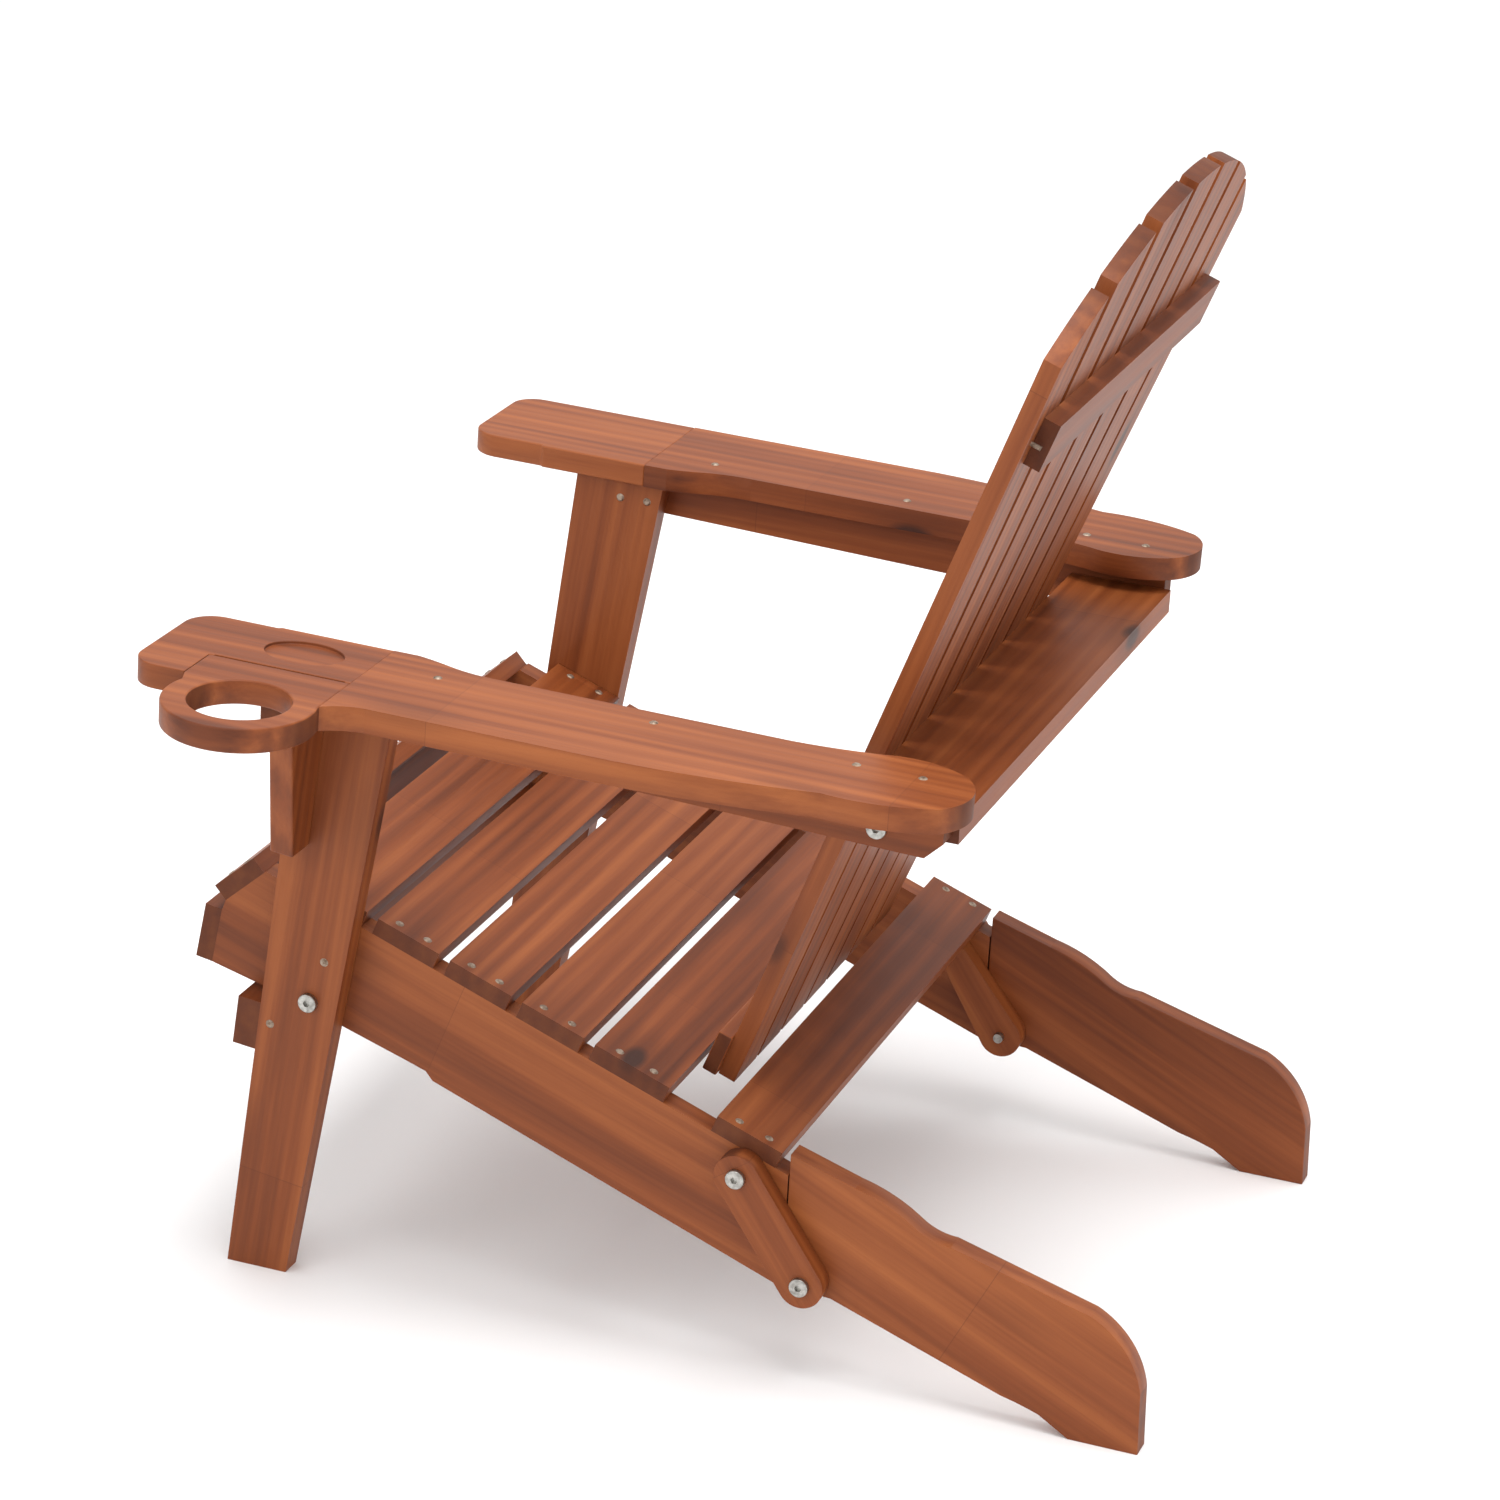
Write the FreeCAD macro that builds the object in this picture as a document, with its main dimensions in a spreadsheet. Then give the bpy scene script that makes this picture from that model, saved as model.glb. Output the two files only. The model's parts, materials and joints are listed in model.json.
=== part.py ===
# Folding adirondack chair with a cup ring on the left arm; every board and bolt is its own solid.
# Frame: +Z up, floor at z = 0, the chair faces -Y, +X is the left hand of somebody sitting in it.
# The origin is the middle of the chair's footprint box, on the floor.
import FreeCAD, Part
import math
import os

V = FreeCAD.Vector
os.makedirs("parts", exist_ok=True)
doc = FreeCAD.newDocument("adirondack_chair")

# ---- driving dimensions
sheet = doc.addObject("Spreadsheet::Sheet", "sizes")
size = {}


def driving(name, value, note):
    row = len(size) + 1
    sheet.set("A%d" % row, name)
    sheet.set("B%d" % row, str(value))
    sheet.set("C%d" % row, note)
    sheet.setAlias("B%d" % row, name)
    size[name] = float(value)


driving("half_seat", 255, "half the seat width, to the outer faces of the rails")
driving("board", 19, "thickness of rails, legs, arms, brackets and stretcher")
driving("slat_thick", 14, "thickness of seat slats, apron, nosing, crossbar and back slats")
driving("cleat_thick", 12, "thickness of the cleat at the foot of the back")
driving("batten_thick", 13, "thickness of the upper batten")
driving("plate_thick", 16, "thickness of a link plate")
driving("cleat_high", 16, "height of the cleat under the front of an arm")
driving("seat_width", 510, "length of a seat board")
driving("side_gap", 0.6, "air between a rail and the leg beside it")
driving("plate_gap", 0.4, "air between a link plate and the rail")
driving("head_gap", 0.3, "air between a bolt head and a board that turns under it")
driving("seat_tilt", 20.25, "fall of the seat towards the back in degrees; the back is square to it")
driving("arm_slope", 0.02, "fall of the arms for each unit of depth")
driving("arm_level", 503, "height of the arm underside where depth is nought")
driving("bolt_radius", 4, "radius of a pivot bolt shank")
driving("bolt_fit", 0.06, "radial running clearance round a pivot bolt")
driving("head_radius", 7.5, "radius of a pivot bolt head")
driving("head_thick", 4, "thickness of a pivot bolt head")
driving("screw_radius", 1.8, "radius of a screw shank")
driving("screw_head", 3.4, "radius of a screw head")
driving("screw_rise", 0.9, "how far a screw head stands up")
driving("cup_radius", 38, "radius of the hole in the cup ring")
driving("ring_radius", 57, "outer radius of the cup ring")
driving("link_radius", 18, "radius of a link plate end")
driving("inner_link_radius", 11, "radius of the inner plate's upper end, under the crossbar")
driving("knuckle_radius", 19.3, "radius of the rear leg corner that turns past the rail end")
doc.recompute()

halfSeat = size["half_seat"]
board = size["board"]
slatThick = size["slat_thick"]
railInner = halfSeat - board
legInner = halfSeat + size["side_gap"]
legOuter = legInner + board
armRailOuter = legOuter + board
tilt = math.radians(size["seat_tilt"])
boltRadius = size["bolt_radius"]
fitRadius = boltRadius + size["bolt_fit"]
originShift = V(-43.5, -239.5, 0)

# ---- where the pivots lie (y, z)
legPivot = (-41.9, 235.0)
linkUpper = (308.7, 163.3)
linkLower = (363.8, 85.6)
armHinge = (407.1, 473.5)

# ---- frames of reference


def seatPoint(along, above):
    """(y, z) of a point measured along the seat's fall and square above it."""
    return (along * math.cos(tilt) + above * math.sin(tilt), above * math.cos(tilt) - along * math.sin(tilt))


def armUnder(y):
    return size["arm_level"] - size["arm_slope"] * y


def legFront(z):
    """Depth of a front leg's front edge at height z."""
    return -107.0 + (107.0 - 51.4) * z / 504.0


def legRear(z):
    return -57.0 + (57.0 + 25.6) * z / 502.5


# ---- making boards
nodes = []


def originPlane(body, role):
    for feature in body.Origin.OriginFeatures:
        if feature.Role == role:
            return feature
    raise RuntimeError("no plane " + role)


def flat(point):
    return V(point[0], point[1], 0)


def addOutline(sketch, outline):
    """Items are corner points; ("arc", middle) bends the edge between its two neighbours."""
    count = len(outline)
    index = 0
    while index < count:
        here = outline[index]
        after = outline[(index + 1) % count]
        if after[0] == "arc":
            end = outline[(index + 2) % count]
            sketch.addGeometry(Part.Arc(flat(here), flat(after[1]), flat(end)), False)
            index += 2
        else:
            sketch.addGeometry(Part.LineSegment(flat(here), flat(after)), False)
            index += 1


def plank(label, role, outline, thickAlias, holes=(), place=None):
    """A board sawn to an outline and padded square to it; holes are (x, y, radius)."""
    body = doc.addObject("PartDesign::Body", label + "_body")
    sketch = body.newObject("Sketcher::SketchObject", label + "_outline")
    sketch.AttachmentSupport = [(originPlane(body, role), "")]
    sketch.MapMode = "FlatFace"
    addOutline(sketch, outline)
    for (x, y, radius) in holes:
        sketch.addGeometry(Part.Circle(V(x, y, 0), V(0, 0, 1), radius), False)
    pad = body.newObject("PartDesign::Pad", label + "_pad")
    pad.Profile = sketch
    pad.setExpression("Length", "sizes." + thickAlias)
    body.Placement = place or FreeCAD.Placement()
    doc.recompute()
    return body


def sideBoard(label, side, near, outline, thickAlias, holes=()):
    """A board standing fore and aft; near is the distance of its inner face from the middle."""
    left = near if side > 0 else -near - size[thickAlias]
    turn = FreeCAD.Rotation(V(0, 1, 0), V(0, 0, 1), V(1, 0, 0), "XYZ")
    return plank(label, "XY_Plane", outline, thickAlias, holes, FreeCAD.Placement(V(left, 0, 0), turn))


def keep(label, source, tools=()):
    """Drill the tools out of a board, move it to the chair's origin and keep it as a node."""
    result = source
    if tools:
        cutter = doc.addObject("Part::Feature", label + "_drilling")
        cutter.Shape = Part.makeCompound(list(tools))
        result = doc.addObject("Part::Cut", label + "_drilled")
        result.Base = source
        result.Tool = cutter
    doc.recompute()
    moved = result.Placement
    moved.Base = moved.Base + originShift
    result.Placement = moved
    result.Label = label
    nodes.append((label, result))


def keepGroup(label, shapes):
    group = doc.addObject("Part::Feature", label + "_group")
    group.Shape = Part.makeCompound(shapes) if len(shapes) > 1 else shapes[0]
    keep(label, group)


# ---- fasteners


def screw(point, direction, length):
    """A screw (solid, hole); its head sits on the wood and its shank points along direction."""
    axis = V(*direction).normalize()
    start = V(*point)
    shank = Part.makeCylinder(size["screw_radius"], length, start, axis)
    head = Part.makeCone(size["screw_head"], 0.62 * size["screw_head"], size["screw_rise"], start, axis * -1)
    return shank.fuse(head).removeSplitter(), shank.copy()


def pivotBolt(side, place, headAt, endAt):
    """A bolt lying across the chair with a hexagon socket in its round head."""
    socketRadius = 2.9
    socketDepth = 2.6
    rimRadius = 1.0
    outward = V(side, 0, 0)
    start = V(side * headAt, place[0], place[1])
    shank = Part.makeCylinder(boltRadius, headAt - endAt, start, outward * -1)
    head = Part.makeCylinder(size["head_radius"], size["head_thick"], start, outward)
    face = side * (headAt + size["head_thick"])
    rim = [edge for edge in head.Edges if abs(edge.CenterOfMass.x - face) < 0.01]
    head = head.makeFillet(rimRadius, rim[:1])
    corners = []
    for step in range(7):
        angle = math.radians(60 * step)
        y = place[0] + socketRadius * math.cos(angle)
        z = place[1] + socketRadius * math.sin(angle)
        corners.append(V(face, y, z))
    socket = Part.Face(Part.makePolygon(corners)).extrude(outward * -socketDepth)
    return shank.fuse(head).cut(socket).removeSplitter()


# ---- seat
seatScrewLength = 32.0
screwLine = halfSeat - board / 2.0
seatScrews = []
railHoles = {1: [], -1: []}
seatRise = 275.0                 # top of the rails, square to the seat
seatTop = seatRise + slatThick


def seatBoardScrews(points, direction):
    """A screw into each rail at every (y, z)."""
    holes = []
    for (y, z) in points:
        for side in (1, -1):
            solid, hole = screw((side * screwLine, y, z), direction, seatScrewLength)
            seatScrews.append(solid)
            railHoles[side].append(hole)
            holes.append(hole)
    return holes


def seatBoard(label, start, end):
    y, z = seatPoint(start, seatRise)
    box = doc.addObject("Part::Box", label + "_stock")
    box.setExpression("Length", "sizes.seat_width")
    box.setExpression("Height", "sizes.slat_thick")
    box.Width = end - start
    box.Placement = FreeCAD.Placement(V(-halfSeat, y, z), FreeCAD.Rotation(V(1, 0, 0), -size["seat_tilt"]))
    points = [seatPoint(start + part * (end - start), seatTop) for part in (0.27, 0.73)]
    keep(label, box, seatBoardScrews(points, (0, -math.sin(tilt), -math.cos(tilt))))


slatSpans = [(-172.0, -111.0), (-101.0, -47.0), (-37.0, 17.0), (27.0, 81.0), (91.0, 156.0)]
for number, (start, end) in enumerate(slatSpans):
    seatBoard("seat_slat_%d" % (number + 1), start, end)
seatBoard("rear_crossbar", 198.0, 254.0)


def edgeFrame(low, high):
    """World points of a face's two edges, its height, and the unit vectors up it and out of it."""
    a = seatPoint(*low)
    b = seatPoint(*high)
    height = math.hypot(b[0] - a[0], b[1] - a[1])
    up = ((b[0] - a[0]) / height, (b[1] - a[1]) / height)
    return a, height, up, (-up[1], up[0])


def facingBoard(label, low, high, outline):
    """A board on the rails' front ends; low and high are the edges of its inner face."""
    start, height, up, out = edgeFrame(low, high)
    turn = FreeCAD.Rotation(V(1, 0, 0), V(0, up[0], up[1]), V(0, out[0], out[1]), "XYZ")
    body = plank(label, "XY_Plane", outline(height), "slat_thick", (),
                 FreeCAD.Placement(V(0, start[0], start[1]), turn))
    points = []
    for part in (0.3, 0.72):
        rise = part * height
        y = start[0] + rise * up[0] + slatThick * out[0]
        z = start[1] + rise * up[1] + slatThick * out[1]
        points.append((y, z))
    keep(label, body, seatBoardScrews(points, (0, -out[0], -out[1])))


def nosingOutline(height):
    return [(-halfSeat, 0), (halfSeat, 0), (halfSeat, height), (-halfSeat, height)]


def apronOutline(height):
    """Two scoops in the lower edge with a small drop between them."""
    scoop = 12.0
    drop = 4.0
    bumpHalf = 30.0
    scoopEnd = halfSeat - 60.0
    scoopMiddle = (bumpHalf + scoopEnd) / 2.0
    bumpRound = 1.5
    lower = [(-halfSeat, 0), (-scoopEnd, 0), ("arc", (-scoopMiddle, scoop)), (-bumpHalf, drop),
             ("arc", (0, drop - bumpRound)), (bumpHalf, drop), ("arc", (scoopMiddle, scoop)),
             (scoopEnd, 0), (halfSeat, 0)]
    return lower + [(halfSeat, height), (-halfSeat, height)]


noseLow = (-217.2, 235.0)
noseHigh = (-197.4, 273.1)
apronLow = (-208.9, 181.0)
apronHigh = (-217.3, 226.1)
facingBoard("nosing_slat", noseLow, noseHigh, nosingOutline)
facingBoard("front_apron", apronLow, apronHigh, apronOutline)

railRear = 187.0                 # lower edge of a rail behind the front leg, square to the seat
railOutline = [apronLow, (-168.0, 185.0), (-94.0, 190.0), (-37.0, 192.5), (-20.0, 193.0), (-12.0, 188.5),
               (10.0, 188.5), (297.7, railRear), (265.2, seatRise), (-196.0, seatRise),
               noseHigh, noseLow, apronHigh]


def seatRail(label, side):
    outline = [seatPoint(*point) for point in railOutline]
    holes = [(legPivot[0], legPivot[1], boltRadius), (linkUpper[0], linkUpper[1], boltRadius)]
    keep(label, sideBoard(label, side, railInner, outline, "board", holes), railHoles[side])


seatRail("seat_rail_left", 1)
seatRail("seat_rail_right", -1)
keepGroup("seat_screws", seatScrews)

# ---- front legs and stretcher
legScrews = []
stretcherScrews = []
railBolts = []
legHoles = {1: [], -1: []}
armRailHoles = {1: [], -1: []}
stretcherHoles = []
stretcherLow = 186.0
stretcherHigh = 40.2
legLean = math.atan2(legFront(504.0) - legFront(0.0), 504.0)
leanUp = (math.sin(legLean), math.cos(legLean))
leanOut = (-math.cos(legLean), math.sin(legLean))


def stretcherPoint(up, out):
    return (legFront(stretcherLow) + up * leanUp[0] + out * leanOut[0],
            stretcherLow + up * leanUp[1] + out * leanOut[1])


for side in (1, -1):
    for part in (0.25, 0.75):
        y, z = stretcherPoint(part * stretcherHigh, board)
        solid, hole = screw((side * (legOuter - board / 2.0), y, z), (0, -leanOut[0], -leanOut[1]), 45.0)
        stretcherScrews.append(solid)
        stretcherHoles.append(hole)
        legHoles[side].append(hole)
    for (y, z) in ((-29.8, 270.4), (-74.1, 209.8)):
        solid, hole = screw((side * legOuter, y, z), (-side, 0, 0), board - 3.0)
        legScrews.append(solid)
        legHoles[side].append(hole)
    for y in (-12.0, 12.0):
        solid, hole = screw((side * legInner, y, 488.0), (side, 0, 0), 2 * board - 3.0)
        railBolts.append(solid)
        legHoles[side].append(hole)
        armRailHoles[side].append(hole)


def stretcher():
    y, z = stretcherPoint(0, board)
    box = doc.addObject("Part::Box", "front_stretcher_stock")
    box.Length = 2 * legOuter
    box.setExpression("Width", "sizes.board")
    box.Height = stretcherHigh
    turn = FreeCAD.Rotation(V(1, 0, 0), -math.degrees(legLean))
    box.Placement = FreeCAD.Placement(V(-legOuter, y, z), turn)
    keep("front_stretcher", box, stretcherHoles)


def frontLeg(label, side):
    top = armUnder(-51.4)
    outline = [(legFront(0), 0), (legRear(0), 0), (25.6, armUnder(25.6)), (legFront(top), top)]
    holes = [(legPivot[0], legPivot[1], fitRadius)]
    keep(label, sideBoard(label, side, legInner, outline, "board", holes), legHoles[side])


frontLeg("front_leg_left", 1)
frontLeg("front_leg_right", -1)
stretcher()
keepGroup("leg_screws", legScrews)
keepGroup("stretcher_screws", stretcherScrews)
keepGroup("arm_rail_bolts", railBolts)

# ---- arms
armFront = -150.0
armSplit = 10.0                  # the glued line across each arm
armInner = 250.0
armOuter = 367.0
armFall = math.atan(size["arm_slope"])
armScrews = []
armHoles = {1: [], -1: []}
cupCentre = (397.0, -45.0)
cupInner = 327.0
cupFront = -104.0
flareEnd = 380.0                 # where the arm's outer edge runs into the ring


def onArm(points, side):
    """Plan points (x, y) laid on the sloping underside of an arm, mirrored for the right arm."""
    result = []
    for item in points:
        if item[0] == "arc":
            result.append(("arc", (side * item[1][0], item[1][1] / math.cos(armFall))))
        else:
            result.append((side * item[0], item[1] / math.cos(armFall)))
    return result


def rearArmPlan(flare):
    """flare is where the outer edge reaches the joint line."""
    outerStart = [(armOuter, 40.0), ("arc", (armOuter + 0.3 * (flare - armOuter), 24.0)), (flare, armSplit)]
    if flare == armOuter:
        outerStart = [(flare, armSplit)]
    return [(armInner, armSplit), (armInner, 30.0), ("arc", (254.0, 46.0)), (258.0, 58.0),
            ("arc", (262.0, 72.0)), (264.5, 100.0), (265.0, 330.0), ("arc", (262.0, 362.0)),
            (256.0, 395.0), ("arc", (252.5, 428.0)),
            (267.0, 463.0), ("arc", (300.0, 477.0)), (333.0, 463.0), ("arc", (346.0, 425.0)), (347.0, 380.0),
            ("arc", (360.0, 310.0)), (armOuter, 230.0)] + outerStart


frontEdge = [(armInner, armSplit), (armInner, -82.0), (252.0, -84.0), (252.0, -125.0),
             ("arc", (258.7, -142.7)), (275.0, armFront), (345.0, armFront), ("arc", (360.6, -143.6)),
             (armOuter, -128.0)]


def frontArmPlan():
    return frontEdge + [(armOuter, armSplit)]


def cupSideFrontPlan():
    """The left front board, cut back to let the ring board in."""
    return frontEdge + [(armOuter, cupFront), (cupInner, cupFront), (cupInner, armSplit)]


def cupPlan():
    radius = size["ring_radius"]
    meetFront = (flareEnd, cupCentre[1] - math.sqrt(radius ** 2 - (flareEnd - cupCentre[0]) ** 2))
    outermost = (cupCentre[0] + radius, cupCentre[1])
    rearAngle = math.asin((armSplit - cupCentre[1]) / radius)
    meetRear = (cupCentre[0] - radius * math.cos(rearAngle), armSplit)
    return [(cupInner, cupFront), (armOuter, cupFront), meetFront, ("arc", outermost),
            meetRear, (cupInner, armSplit)]


armPlace = FreeCAD.Placement(V(0, 0, size["arm_level"]), FreeCAD.Rotation(V(1, 0, 0), -math.degrees(armFall)))


def dishAndSlit():
    """A shallow oval dish in the left arm's top, and the thin slit along the ring board."""
    longHalf = 31.0
    shortHalf = 22.0
    depth = 2.5
    slitWide = 1.5
    slitStart = -100.0
    slitEnd = 5.0
    middle = V(289.0, cupCentre[1], board - depth)
    rim = Part.Ellipse(middle + V(0, longHalf, 0), middle + V(shortHalf, 0, 0), middle)
    dish = Part.Face(Part.Wire(rim.toShape())).extrude(V(0, 0, 2 * depth))
    slit = Part.makeBox(slitWide, slitEnd - slitStart, 3 * board, V(cupInner - slitWide, slitStart, -board))
    tools = [dish, slit]
    for tool in tools:
        tool.Placement = armPlace.multiply(tool.Placement)
    return tools


def armBoard(label, plan, side, holes=(), tools=()):
    keep(label, plank(label, "XY_Plane", onArm(plan, side), "board", holes, armPlace), tools)


for side in (1, -1):
    for y in (60.0, 230.0, 385.0, 435.0):
        x = side * (legOuter + board / 2.0)
        top = (x, y + board * math.sin(armFall), armUnder(y) + board * math.cos(armFall))
        solid, hole = screw(top, (0, -math.sin(armFall), -math.cos(armFall)), 38.0)
        armScrews.append(solid)
        armHoles[side].append(hole)

armBoard("arm_left_rear", rearArmPlan(flareEnd), 1, (), armHoles[1])
armBoard("arm_left_front", cupSideFrontPlan(), 1, (), dishAndSlit())
cupHole = (cupCentre[0], cupCentre[1] / math.cos(armFall), size["cup_radius"])
armBoard("cup_ring_board", cupPlan(), 1, [cupHole])
armBoard("arm_right_rear", rearArmPlan(armOuter), -1, (), armHoles[-1])
armBoard("arm_right_front", frontArmPlan(), -1)
keepGroup("arm_screws", armScrews)


def armRail(label, side):
    front = -30.0
    rear = 456.5
    outline = [(front, 476.0), (443.0, 457.0), (rear, 470.0), (rear, armUnder(rear)),
               (front, armUnder(front))]
    holes = [(armHinge[0], armHinge[1], fitRadius)]
    drilled = armRailHoles[side] + armHoles[side]
    keep(label, sideBoard(label, side, legOuter, outline, "board", holes), drilled)


armRail("arm_rail_left", 1)
armRail("arm_rail_right", -1)


def crossBoard(label, side, corners):
    """A small board across the chair: corners are (x, z), padded forward along the leg's lean."""
    rear = -31.0
    pinned = corners[0][1]
    turn = FreeCAD.Rotation(V(1, 0, 0), V(0, leanUp[0], leanUp[1]), V(0, leanOut[0], leanOut[1]), "XYZ")
    outline = [(side * x, (z - pinned) / leanUp[1]) for (x, z) in corners]
    keep(label, plank(label, "XY_Plane", outline, "board", (), FreeCAD.Placement(V(0, rear, pinned), turn)))


bracketTop = 485.7
bracketFoot = 364.0
for side, word in ((1, "left"), (-1, "right")):
    crossBoard("arm_bracket_" + word, side,
               [(legOuter, bracketTop), (legOuter, bracketFoot), (303.0, bracketFoot), (337.0, bracketTop)])
    cleatBox = doc.addObject("Part::Box", "arm_cleat_stock_" + word)
    cleatLong = 352.0 - legOuter
    cleatBox.Length = cleatLong
    cleatBox.setExpression("Width", "sizes.board")
    cleatBox.setExpression("Height", "sizes.cleat_high")
    left = legOuter if side > 0 else -legOuter - cleatLong
    low = armUnder(-50.0) - size["cleat_high"] - 0.02
    level = FreeCAD.Rotation(V(1, 0, 0), -math.degrees(armFall))
    cleatBox.Placement = FreeCAD.Placement(V(left, -50.0, low), level)
    keep("arm_cleat_" + word, cleatBox)

# ---- back, standing square to the seat
backFront = 173.0
backRear = backFront + slatThick
backFoot = 278.0
crownCentre = 681.4
crownRadius = 349.2
backFootHalf = 182.0
backFlare = 0.0866
slatCount = 7
footGap = 5.0
crownGap = 13.0
backScrews = []
backHoles = []
backTurn = FreeCAD.Rotation(V(1, 0, 0), V(0, math.sin(tilt), math.cos(tilt)),
                            V(0, -math.cos(tilt), math.sin(tilt)), "XYZ")


def backPlace(behind):
    y, z = seatPoint(behind, 0)
    return FreeCAD.Placement(V(0, y, z), backTurn)


def slatGap(up):
    return footGap + (crownGap - footGap) * (up - backFoot) / (crownCentre + crownRadius - backFoot)


def slatEdges(index, up):
    """The two edges of a back slat at a height up the back."""
    half = backFootHalf + backFlare * (up - backFoot)
    width = (2 * half - (slatCount - 1) * slatGap(up)) / slatCount
    start = -half + index * (width + slatGap(up))
    return start, start + width


def crownPoint(index, which):
    """Where an edge of a slat meets the rounded top."""
    up = crownCentre + 0.8 * crownRadius
    for _ in range(40):
        x = slatEdges(index, up)[which]
        up = crownCentre + math.sqrt(crownRadius ** 2 - x ** 2)
    return (x, up)


def backSlat(index):
    label = "back_slat_%d" % (index + 1)
    left = crownPoint(index, 0)
    right = crownPoint(index, 1)
    middleX = (left[0] + right[0]) / 2.0
    middle = (middleX, crownCentre + math.sqrt(crownRadius ** 2 - middleX ** 2))
    low = slatEdges(index, backFoot)
    outline = [(low[0], backFoot), (low[1], backFoot), right, ("arc", middle), left]
    holes = []
    for (up, length) in ((868.0, 22.0), (568.0, 38.0)):
        edges = slatEdges(index, up)
        for part in (0.27, 0.73):
            y, z = seatPoint(backFront, up)
            x = edges[0] + part * (edges[1] - edges[0])
            solid, hole = screw((x, y, z), (0, math.cos(tilt), -math.sin(tilt)), length)
            backScrews.append(solid)
            holes.append(hole)
    backHoles.extend(holes)
    keep(label, plank(label, "XY_Plane", outline, "slat_thick", (), backPlace(backRear)), holes)


for index in range(slatCount):
    backSlat(index)


def backBoard(label, half, low, high, thickAlias, rear, holes=()):
    outline = [(-half, low), (half, low), (half, high), (-half, high)]
    keep(label, plank(label, "XY_Plane", outline, thickAlias, (), backPlace(rear)), holes)


backBoard("upper_batten", 211.0, 849.0, 887.0, "batten_thick", backRear + size["batten_thick"], backHoles)
backBoard("lower_cleat", 190.0, 279.0, 315.0, "cleat_thick", backFront)


def midCrossbar():
    """A wide level board whose front edge is planed to the back slats."""
    half = 274.0
    low = 464.0
    high = 483.0
    rear = 462.0
    pinDepth = 40.0

    def slatRear(z):
        up = (z + backRear * math.sin(tilt)) / math.cos(tilt)
        return seatPoint(backRear, up)[0]
    outline = [(slatRear(low), low), (rear, low), (rear, high), (slatRear(high), high)]
    corners = [V(-half, y, z) for (y, z) in outline]
    solid = Part.Face(Part.makePolygon(corners + corners[:1])).extrude(V(2 * half, 0, 0))
    for side in (1, -1):
        start = V(side * half, armHinge[0], armHinge[1])
        solid = solid.cut(Part.makeCylinder(boltRadius, pinDepth, start, V(-side, 0, 0)))
    feature = doc.addObject("Part::Feature", "mid_crossbar_solid")
    feature.Shape = solid
    keep("mid_crossbar", feature, backHoles)
    return half - pinDepth


armBoltEnd = midCrossbar()
keepGroup("back_screws", backScrews)

# ---- rear legs and link plates


def rearLegOutline():
    face = 345.0
    radius = size["knuckle_radius"]
    under = 73.0
    reach = linkLower[0] - face
    faceLow = linkLower[1] - math.sqrt(radius ** 2 - reach ** 2)
    underFront = linkLower[0] - math.sqrt(radius ** 2 - (linkLower[1] - under) ** 2)
    angle = (math.atan2(faceLow - linkLower[1], -reach)
             + math.atan2(under - linkLower[1], underFront - linkLower[0])) / 2.0
    middle = (linkLower[0] + radius * math.cos(angle), linkLower[1] + radius * math.sin(angle))
    return [(face, faceLow), ("arc", middle), (underFront, under), (364.0, under), (383.0, 72.0),
            (520.6, 23.5), ("arc", (537.0, 19.3)), (551.0, 14.7), (575.0, 0), (629.0, 0), (627.0, 50.0),
            ("arc", (613.0, 82.0)),
            (584.8, 104.9), (473.7, 136.2), ("arc", (459.0, 138.5)), (446.0, 145.0), ("arc", (428.0, 156.2)),
            (397.0, 167.6), (face, 184.0)]


def linkOutline(upperRadius):
    """Two round ends joined by their outer tangents."""
    lowerRadius = size["link_radius"]
    dy = linkLower[0] - linkUpper[0]
    dz = linkLower[1] - linkUpper[1]
    length = math.hypot(dy, dz)
    heading = math.atan2(dz, dy)
    spread = math.acos((upperRadius - lowerRadius) / length)

    def rim(centre, radius, angle):
        return (centre[0] + radius * math.cos(angle), centre[1] + radius * math.sin(angle))
    return [rim(linkUpper, upperRadius, heading + spread),
            ("arc", rim(linkUpper, upperRadius, heading + math.pi)),
            rim(linkUpper, upperRadius, heading - spread),
            rim(linkLower, lowerRadius, heading - spread),
            ("arc", rim(linkLower, lowerRadius, heading)),
            rim(linkLower, lowerRadius, heading + spread)]


def rearLeg(label, side):
    holes = [(linkLower[0], linkLower[1], fitRadius)]
    keep(label, sideBoard(label, side, railInner, rearLegOutline(), "board", holes))


def linkPlate(label, side, near, upperRadius):
    holes = [(linkUpper[0], linkUpper[1], fitRadius), (linkLower[0], linkLower[1], boltRadius)]
    keep(label, sideBoard(label, side, near, linkOutline(upperRadius), "plate_thick", holes))


outerNear = halfSeat + size["plate_gap"]
outerFar = outerNear + size["plate_thick"]
innerNear = railInner - size["plate_gap"] - size["plate_thick"]
boltTail = 5.0
for side, word in ((1, "left"), (-1, "right")):
    rearLeg("rear_leg_" + word, side)
    linkPlate("link_plate_%s_outer" % word, side, outerNear, size["link_radius"])
    linkPlate("link_plate_%s_inner" % word, side, innerNear, size["inner_link_radius"])
    keepGroup("link_lower_bolt_" + word, [pivotBolt(side, linkLower, outerFar, innerNear - boltTail)])

headGap = size["head_gap"]
keepGroup("link_upper_bolts", [pivotBolt(side, linkUpper, outerFar + headGap, innerNear - boltTail)
                               for side in (1, -1)])
keepGroup("leg_pivot_bolts", [pivotBolt(side, legPivot, legOuter + headGap, railInner - boltTail)
                              for side in (1, -1)])
keepGroup("arm_pivot_bolts", [pivotBolt(side, armHinge, armRailOuter + headGap, armBoltEnd)
                              for side in (1, -1)])

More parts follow.
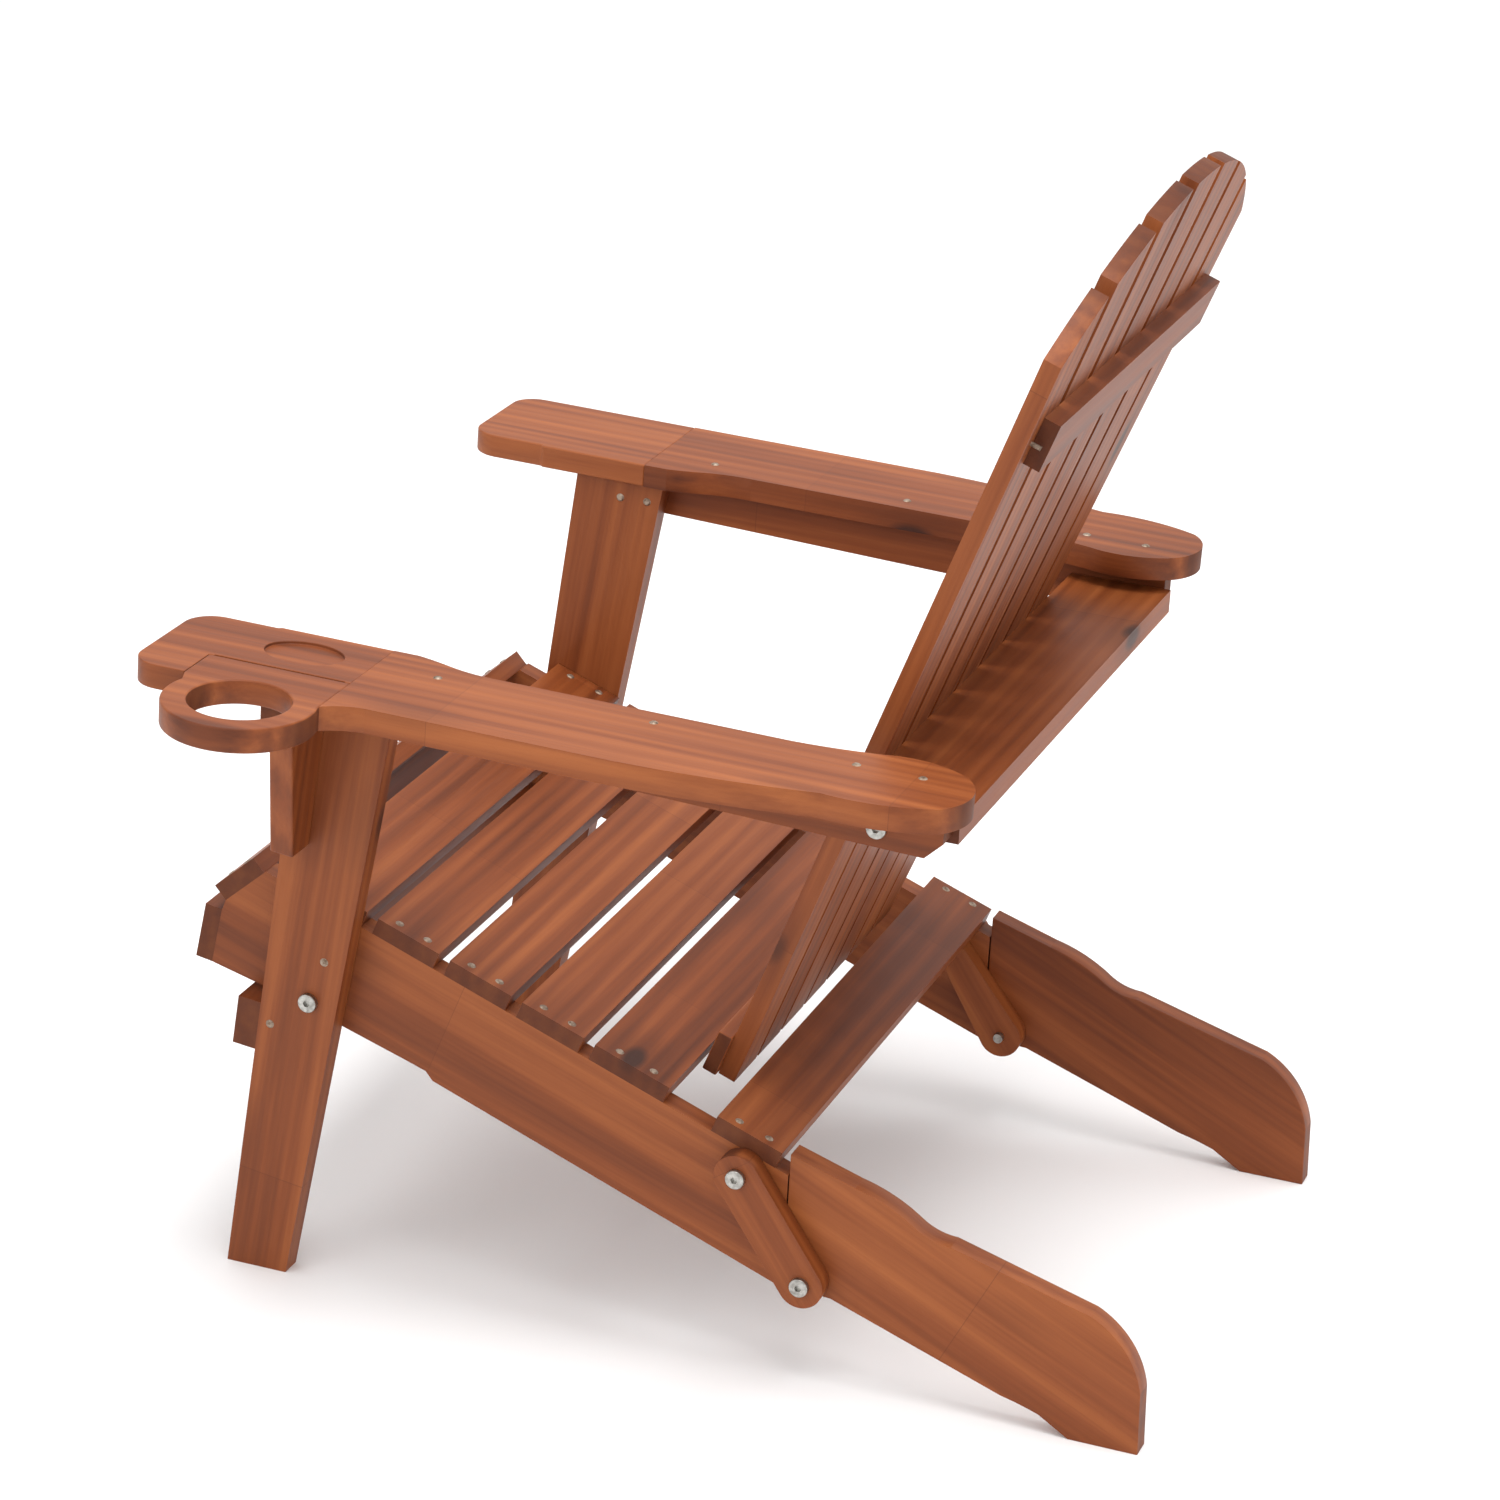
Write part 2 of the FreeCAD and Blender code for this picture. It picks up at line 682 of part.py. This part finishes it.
# ---- check and write
doc.recompute()
for thing in doc.Objects:
    if "Invalid" in thing.State or "Error" in thing.State:
        raise RuntimeError("bad object " + thing.Label)
whole = FreeCAD.BoundBox()
for label, thing in nodes:
    shape = thing.Shape
    if shape.isNull() or not shape.isValid() or not shape.Solids:
        raise RuntimeError("bad shape " + label)
    whole.add(shape.BoundBox)
for label, thing in nodes:
    thing.Shape.exportStep("parts/%s.step" % label)
print("nodes", len(nodes), "box", whole)
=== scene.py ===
import bpy
import bmesh
import json
import math
from mathutils import Matrix, Vector

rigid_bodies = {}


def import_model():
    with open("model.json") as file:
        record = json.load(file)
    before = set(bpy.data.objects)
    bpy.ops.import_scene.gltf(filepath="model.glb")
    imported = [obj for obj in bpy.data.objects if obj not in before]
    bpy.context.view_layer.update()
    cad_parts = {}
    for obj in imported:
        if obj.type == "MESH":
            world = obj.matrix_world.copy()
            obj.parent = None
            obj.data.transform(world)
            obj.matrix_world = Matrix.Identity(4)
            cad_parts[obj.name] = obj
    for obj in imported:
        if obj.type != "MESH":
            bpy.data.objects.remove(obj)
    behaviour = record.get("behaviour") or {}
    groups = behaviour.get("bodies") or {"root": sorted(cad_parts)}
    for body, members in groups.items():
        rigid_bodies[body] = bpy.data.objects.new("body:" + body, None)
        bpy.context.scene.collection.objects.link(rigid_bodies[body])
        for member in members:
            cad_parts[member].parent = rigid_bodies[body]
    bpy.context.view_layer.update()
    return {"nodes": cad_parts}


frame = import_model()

nodes = frame["nodes"]

# which way the grain of each board runs, in degrees above level as seen from the side
# boards that aren't named here lie across the chair
grainRise = {
    "seat_rail": -20.25,
    "back_slat": 69.75,
    "front_leg": 82.0,
    "arm_bracket": 83.7,
    "arm_rail": -1.15,
    "arm_left": -1.15,
    "arm_right": -1.15,
    "cup_ring_board": -1.15,
    "rear_leg": -26.0,
    "link_plate": -54.7,
}
backFan = {"middleSlat": 4, "swing": 1.42}    # degrees that each slat leans out from the next


def grainOf(name):    # rise and sideways swing, or None for a board lying across the chair
    if name.startswith("back_slat"):
        fromMiddle = int(name.split("_")[-1]) - backFan["middleSlat"]
        return grainRise["back_slat"], fromMiddle * backFan["swing"]
    for start, rise in grainRise.items():
        if name.startswith(start):
            return rise, 0.0
    return None


class Graph:    # short hand for wiring a material
    def __init__(self, name):
        self.material = bpy.data.materials.new(name)
        self.material.use_nodes = True
        self.tree = self.material.node_tree
        self.shader = self.tree.nodes["Principled BSDF"]
        self.place = self.add("ShaderNodeTexCoord")

    def add(self, kind, **settings):
        node = self.tree.nodes.new(kind)
        for key, value in settings.items():
            setattr(node, key, value)
        return node

    def join(self, a, b):
        self.tree.links.new(a, b)

    def fill(self, socket, value):    # a plain value, or a wire from another node
        if isinstance(value, (int, float, tuple)):
            socket.default_value = value
        else:
            self.join(value, socket)

    def maths(self, kind, first, second=0.0):
        node = self.add("ShaderNodeMath", operation=kind)
        self.fill(node.inputs[0], first)
        self.fill(node.inputs[1], second)
        return node.outputs[0]

    def spread(self, value, low, high, toLow=0.0, toHigh=1.0):
        node = self.add("ShaderNodeMapRange", clamp=True)
        self.join(value, node.inputs["Value"])
        node.inputs["From Min"].default_value = low
        node.inputs["From Max"].default_value = high
        node.inputs["To Min"].default_value = toLow
        node.inputs["To Max"].default_value = toHigh
        return node.outputs[0]

    def stretched(self, vector, scale):
        node = self.add("ShaderNodeMapping")
        node.inputs["Scale"].default_value = scale
        self.join(vector, node.inputs["Vector"])
        return node.outputs[0]

    def noise(self, vector, look):
        node = self.add("ShaderNodeTexNoise")
        node.inputs["Scale"].default_value = 1.0
        node.inputs["Detail"].default_value = look["detail"]
        node.inputs["Roughness"].default_value = look["rough"]
        self.join(self.stretched(vector, look["stretch"]), node.inputs["Vector"])
        return node.outputs["Fac"]

    def blendColour(self, factor, first, second):
        node = self.add("ShaderNodeMix", data_type="RGBA")
        self.join(factor, node.inputs[0])
        self.fill(node.inputs[6], first)
        self.fill(node.inputs[7], second)
        return node.outputs[2]

    def emboss(self, height, look):
        node = self.add("ShaderNodeBump")
        node.inputs["Strength"].default_value = look["strength"]
        node.inputs["Distance"].default_value = look["distance"]
        self.join(height, node.inputs["Height"])
        self.join(node.outputs[0], self.shader.inputs["Normal"])


# the layers of the grain, each stretched along it, and their shares in the tone
grainLayers = {
    "cloud": {"stretch": (2.4, 9, 9), "detail": 3, "rough": 0.5, "share": 0.18},    # uneven stain
    "broad": {"stretch": (1.2, 30, 30), "detail": 5, "rough": 0.6, "share": 0.46},    # soft tone
    "streak": {"stretch": (3.0, 120, 120), "detail": 6, "rough": 0.6, "share": 0.30},    # growth lines
    "fibre": {"stretch": (14, 620, 620), "detail": 3, "rough": 0.6},    # fine pores, only in the relief
}
growthRings = {"stretch": (1.1, 20, 20), "distortion": 9.0, "detail": 2.0, "detailScale": 0.6, "share": 0.07}
boardChange = {"shift": (0.37, 0.21, 0.13), "tone": 0.014, "turn": 2.4}    # from one board to the next


def layGrain(g, name, seed):    # coordinates with x along the grain, and the grain's own direction
    turn = g.add("ShaderNodeMapping")
    turn.inputs["Location"].default_value = tuple(seed * shift for shift in boardChange["shift"])
    g.join(g.place.outputs["Object"], turn.inputs["Vector"])
    grain = grainOf(name)
    if grain is None:
        return turn.outputs[0], Vector((1, 0, 0))
    rise, swing = (math.radians(value) for value in grain)
    turn.inputs["Rotation"].default_value = (-rise, 0, swing - math.pi / 2)
    forward = math.cos(swing)
    return turn.outputs[0], Vector((math.sin(swing), forward * math.cos(rise), forward * math.sin(rise)))


def mixTone(g, along, layer, seed):
    rings = g.add("ShaderNodeTexWave", bands_direction="Y")
    rings.inputs["Scale"].default_value = 1.0
    rings.inputs["Distortion"].default_value = growthRings["distortion"]
    rings.inputs["Detail"].default_value = growthRings["detail"]
    rings.inputs["Detail Scale"].default_value = growthRings["detailScale"]
    g.join(g.stretched(along, growthRings["stretch"]), rings.inputs["Vector"])

    tone = g.maths("MULTIPLY", layer["broad"], grainLayers["broad"]["share"])
    for name in ("streak", "cloud"):
        tone = g.maths("ADD", tone, g.maths("MULTIPLY", layer[name], grainLayers[name]["share"]))
    tone = g.maths("ADD", tone, g.maths("MULTIPLY", rings.outputs["Fac"], growthRings["share"]))
    return g.maths("ADD", tone, boardChange["tone"] * math.sin(seed * boardChange["turn"]))


# each board is glued up end to end from shorter lengths
joint = {
    "length": 0.43,
    "lengthChange": 0.22,    # share by which the lengths differ from board to board
    "lengthTurn": 1.9,
    "step": 0.045,    # how far apart the tones of the lengths can be
    "line": 0.0011,    # half the width of a glue line, as a share of a length
    "dark": 0.55,
}


def glueLengths(g, along, seed):    # a tone for each length, and the glue lines between them
    split = g.add("ShaderNodeSeparateXYZ")
    g.join(along, split.inputs[0])
    length = joint["length"] * (1.0 + joint["lengthChange"] * math.sin(seed * joint["lengthTurn"]))
    lengths = g.maths("DIVIDE", split.outputs[0], length)
    pick = g.add("ShaderNodeTexWhiteNoise", noise_dimensions="1D")
    g.join(g.maths("FLOOR", lengths), pick.inputs["W"])
    step = g.maths("MULTIPLY", g.maths("SUBTRACT", pick.outputs["Value"], 0.5), joint["step"])
    fromMiddle = g.maths("ABSOLUTE", g.maths("SUBTRACT", g.maths("FRACT", lengths), 0.5))
    return step, g.spread(fromMiddle, 0.5 - joint["line"], 0.5, 0.0, joint["dark"])


# the brown stain, and how it shines
stain = {
    "deep": (0.094, 0.0205, 0.0050, 1.0),
    "middle": (0.205, 0.0490, 0.0110, 1.0),
    "pale": (0.340, 0.0980, 0.0250, 1.0),
    "deepTone": 0.34,    # the tones at which the three colours stand
    "middleTone": 0.49,
    "paleTone": 0.67,
    "roughness": 0.50,
    "streakRoughness": 0.20,    # how much the growth lines vary the roughness
    "sheen": 0.26,
    "coat": 0.05,
    "coatRoughness": 0.35,
}


def stainColour(g, tone):
    ramp = g.add("ShaderNodeValToRGB")
    low, high = ramp.color_ramp.elements
    low.position = stain["deepTone"]
    low.color = stain["deep"]
    high.position = stain["paleTone"]
    high.color = stain["pale"]
    middle = ramp.color_ramp.elements.new(stain["middleTone"])
    middle.color = stain["middle"]
    g.join(tone, ramp.inputs[0])
    return ramp.outputs[0]


# small scattered knots, longer along the grain
knots = {
    "colour": (0.042, 0.012, 0.006, 1.0),
    "stretch": (5.0, 11, 11),
    "core": (0.062, 0.115, 0.92, 0.0),    # from this distance to that, and the strength at each
    "halo": (0.09, 0.30, 0.45, 0.0),
}


def scatterKnots(g, along):
    spots = g.add("ShaderNodeTexVoronoi", feature="F1")
    spots.inputs["Scale"].default_value = 1.0
    g.join(g.stretched(along, knots["stretch"]), spots.inputs["Vector"])
    distance = spots.outputs["Distance"]
    return g.spread(distance, *knots["core"]), g.spread(distance, *knots["halo"])


# saw cut ends soak up more stain
sawnEnd = {
    "colour": (0.070, 0.0175, 0.0062, 1.0),
    "facing": (0.80, 0.95),    # how squarely a face looks along the grain
    "strength": 0.72,
    "roughness": 0.25,
}


def findEnds(g, axis):
    facing = g.add("ShaderNodeVectorMath", operation="DOT_PRODUCT")
    facing.inputs[1].default_value = axis
    g.join(g.place.outputs["Normal"], facing.inputs[0])
    square = g.maths("ABSOLUTE", facing.outputs["Value"])
    return g.spread(square, *sawnEnd["facing"], 0.0, sawnEnd["strength"])


# how deep the pores, growth lines and knots are
woodRelief = {"strength": 0.32, "distance": 0.0006, "fibre": 0.5, "streak": 0.6, "knot": 0.5}


def makeWood(name, seed):
    g = Graph("wood_" + name)
    along, axis = layGrain(g, name, seed)
    layer = {key: g.noise(along, look) for key, look in grainLayers.items()}
    step, glueLine = glueLengths(g, along, seed)
    knot, halo = scatterKnots(g, along)
    ends = findEnds(g, axis)

    colour = stainColour(g, g.maths("ADD", mixTone(g, along, layer, seed), step))
    colour = g.blendColour(halo, colour, stain["deep"])
    colour = g.blendColour(knot, colour, knots["colour"])
    colour = g.blendColour(glueLine, colour, stain["deep"])
    colour = g.blendColour(ends, colour, sawnEnd["colour"])
    g.join(colour, g.shader.inputs["Base Color"])

    smoothest = stain["roughness"] - stain["streakRoughness"] / 2
    rough = g.maths("ADD", g.maths("MULTIPLY", layer["streak"], stain["streakRoughness"]), smoothest)
    rough = g.maths("ADD", rough, g.maths("MULTIPLY", ends, sawnEnd["roughness"]))
    g.join(rough, g.shader.inputs["Roughness"])
    g.shader.inputs["Specular IOR Level"].default_value = stain["sheen"]
    g.shader.inputs["Coat Weight"].default_value = stain["coat"]
    g.shader.inputs["Coat Roughness"].default_value = stain["coatRoughness"]

    pores = g.maths("MULTIPLY", layer["fibre"], woodRelief["fibre"])
    lines = g.maths("MULTIPLY", layer["streak"], woodRelief["streak"])
    hollow = g.maths("MULTIPLY", knot, woodRelief["knot"])
    g.emboss(g.maths("SUBTRACT", g.maths("ADD", pores, lines), hollow), woodRelief)
    return g.material


# bolts are bright zinc, screws and arm rail bolts are dull with stain on them
metal = {
    "zinc": {"colour": (0.47, 0.46, 0.43, 1.0), "shade": (0.24, 0.23, 0.21, 1.0), "rough": 0.26},
    "dull": {"colour": (0.42, 0.34, 0.27, 1.0), "shade": (0.16, 0.10, 0.065, 1.0), "rough": 0.50},
}
metalWear = {
    "cloud": {"stretch": (240, 240, 240), "detail": 4, "rough": 0.6},
    "cloudRange": (0.40, 0.68),
    "scratch": {"stretch": (300, 2600, 2600), "detail": 2, "rough": 0.5},
    "scratchRoughness": 0.22,
    "strength": 0.15,
    "distance": 0.0001,
}


def makeMetal(name):
    g = Graph("metal_" + name)
    look = metal[name]
    cloud = g.noise(g.place.outputs["Object"], metalWear["cloud"])
    scratch = g.noise(g.place.outputs["Object"], metalWear["scratch"])
    worn = g.spread(cloud, *metalWear["cloudRange"])
    g.join(g.blendColour(worn, look["colour"], look["shade"]), g.shader.inputs["Base Color"])
    rough = g.maths("MULTIPLY", scratch, metalWear["scratchRoughness"])
    g.join(g.maths("ADD", rough, look["rough"]), g.shader.inputs["Roughness"])
    g.shader.inputs["Metallic"].default_value = 1.0
    g.emboss(scratch, metalWear)
    return g.material


# soft sanded corners on the sawn boards, metres and degrees
edge = {"width": 0.0015, "segments": 3, "angle": 32.0, "flat": 0.6, "merge": 0.00002}


def easeEdges(board):
    weld = board.modifiers.new("joinFaces", "WELD")
    weld.merge_threshold = edge["merge"]
    whole = board.modifiers.new("wholeFaces", "DECIMATE")    # flat faces become one face each
    whole.decimate_type = "DISSOLVE"
    whole.angle_limit = math.radians(edge["flat"])
    bevel = board.modifiers.new("softEdge", "BEVEL")
    bevel.width = edge["width"]
    bevel.segments = edge["segments"]
    bevel.limit_method = "ANGLE"
    bevel.angle_limit = math.radians(edge["angle"])


def dress(piece, material):
    piece.data.materials.clear()
    piece.data.materials.append(material)


zinc = makeMetal("zinc")
dull = makeMetal("dull")
for seed, name in enumerate(sorted(nodes), start=1):
    piece = bpy.data.objects[name]
    if name == "arm_rail_bolts" or name.endswith("screws"):
        dress(piece, dull)
    elif "bolt" in name:
        dress(piece, zinc)
    else:
        dress(piece, makeWood(name, seed))
        easeEdges(piece)
print("boards and bolts dressed:", len(nodes))

# pale floor under an even white sky
room = {
    "floor": 60.0,
    "floorColour": (0.94, 0.94, 0.94, 1.0),
    "floorCloud": {"stretch": (3, 3, 3), "detail": 2, "rough": 0.5},
    "floorRoughness": (0.82, 0.9),
    "sky": (1.0, 1.0, 1.0, 1.0),
    "skyLevel": 1.0,
}


def layFloor():
    mesh = bpy.data.meshes.new("floor")
    bm = bmesh.new()
    bmesh.ops.create_grid(bm, x_segments=2, y_segments=2, size=room["floor"])
    bm.to_mesh(mesh)
    bm.free()
    floor = bpy.data.objects.new("floor", mesh)
    bpy.context.scene.collection.objects.link(floor)
    g = Graph("floorPaint")
    cloud = g.noise(g.place.outputs["Object"], room["floorCloud"])
    g.join(g.spread(cloud, 0.0, 1.0, *room["floorRoughness"]), g.shader.inputs["Roughness"])
    g.shader.inputs["Base Color"].default_value = room["floorColour"]
    mesh.materials.append(g.material)


def paintSky():
    world = bpy.data.worlds.new("studio")
    world.use_nodes = True
    background = world.node_tree.nodes["Background"]
    background.inputs["Color"].default_value = room["sky"]
    background.inputs["Strength"].default_value = room["skyLevel"]
    bpy.context.scene.world = world


# soft square lamps aimed at the middle of the chair: place, width and power in watts
lamps = {
    "topSoft": {"place": (0.4, 0.3, 3.6), "size": 2.2, "power": 92},
    "sideSoft": {"place": (3.2, -2.0, 2.4), "size": 2.0, "power": 22},
    "rearSoft": {"place": (-2.6, 2.6, 2.4), "size": 2.4, "power": 12},
}
lampAim = (0, 0, 0.4)


def hangLamp(name, look):
    lamp = bpy.data.lights.new(name, "AREA")
    lamp.size = look["size"]
    lamp.energy = look["power"]
    thing = bpy.data.objects.new(name, lamp)
    thing.location = look["place"]
    toChair = Vector(lampAim) - Vector(look["place"])
    thing.rotation_euler = toChair.to_track_quat("-Z", "Y").to_euler()
    bpy.context.scene.collection.objects.link(thing)


layFloor()
paintSky()
for name, look in lamps.items():
    hangLamp(name, look)
bpy.context.scene.view_settings.view_transform = "Standard"
print("floor and lamps set")

shot = {
    "place": (3.222, 1.110, 1.758),
    "target": (0.02, -0.012, 0.418),
    "lens": 114.0,
    "sensor": 36.0,
    "roll": 3.3,    # degrees
}


def placeCamera():
    camera = bpy.data.objects.new("camera", bpy.data.cameras.new("camera"))
    camera.data.lens = shot["lens"]
    camera.data.sensor_width = shot["sensor"]
    camera.location = shot["place"]
    toTarget = Vector(shot["target"]) - Vector(shot["place"])
    aim = toTarget.to_track_quat("-Z", "Y").to_matrix()
    camera.rotation_euler = (aim @ Matrix.Rotation(math.radians(shot["roll"]), 3, "Z")).to_euler()
    bpy.context.scene.collection.objects.link(camera)
    bpy.context.scene.camera = camera


placeCamera()
print("camera set")
